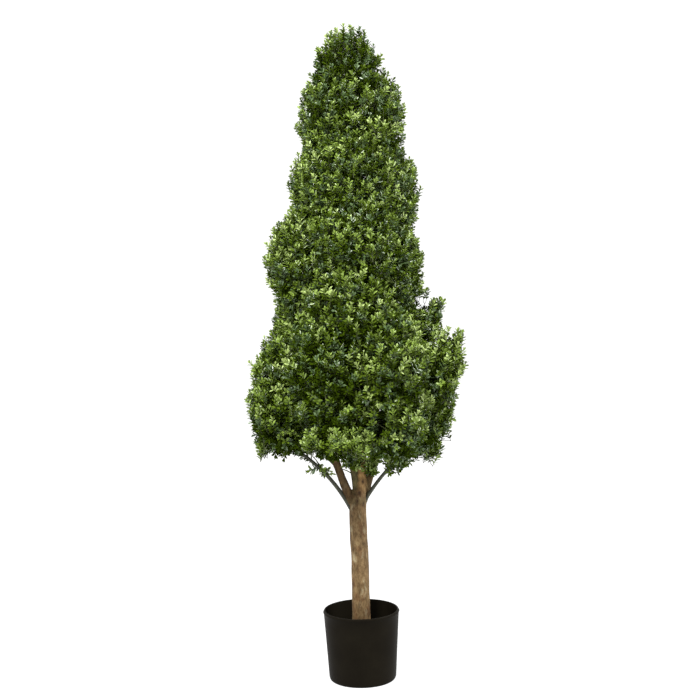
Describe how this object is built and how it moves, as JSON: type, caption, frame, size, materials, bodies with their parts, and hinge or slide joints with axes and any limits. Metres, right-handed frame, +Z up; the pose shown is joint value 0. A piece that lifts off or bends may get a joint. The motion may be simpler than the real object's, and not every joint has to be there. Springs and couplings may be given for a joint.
{
  "type": "artificial boxwood cone tree in a pot",
  "caption": "Tall cone-shaped artificial boxwood tree: dense leafy lobes on a forked wooden trunk, standing in a plain round black plastic pot.",
  "frame": {"origin": "centre of the flat underside of the pot, where the plant stands", "axes": "+Z is up along the tree's height, -Y is the front, and +X is to the right when the front is seen"},
  "size_m": [0.5832, 0.4868, 1.75],
  "materials": {
    "pot": "satin",
    "filling": "matte",
    "trunk_wood": "matte",
    "wire_stem": "matte",
    "foliage": "satin"
  },
  "bodies": {
    "root": {"pot": "pot", "pot_filling": "filling", "trunk": "trunk_wood", "limb_left": "trunk_wood", "limb_right": "trunk_wood", "limb_front": "trunk_wood", "stem_left": "wire_stem", "stem_right": "wire_stem", "stem_back_right": "wire_stem", "stem_back_left": "wire_stem", "foliage_spire": "foliage", "foliage_top_right": "foliage", "foliage_top_back": "foliage", "foliage_top_left": "foliage", "foliage_high_right": "foliage", "foliage_high_left": "foliage", "foliage_high_front": "foliage", "foliage_middle_right": "foliage", "foliage_middle_back": "foliage", "foliage_middle_left": "foliage", "foliage_middle_front": "foliage", "foliage_waist_right": "foliage", "foliage_waist_back": "foliage", "foliage_waist_left": "foliage", "foliage_waist_front": "foliage", "foliage_low_right": "foliage", "foliage_low_outer_right": "foliage", "foliage_low_back_right": "foliage", "foliage_low_back_left": "foliage", "foliage_low_left": "foliage", "foliage_low_front_left": "foliage", "foliage_low_front_right": "foliage", "foliage_skirt_right": "foliage", "foliage_skirt_back_right": "foliage", "foliage_skirt_back_left": "foliage", "foliage_skirt_left": "foliage", "foliage_skirt_front_left": "foliage", "foliage_skirt_front_right": "foliage"}
  },
  "joints": []
}
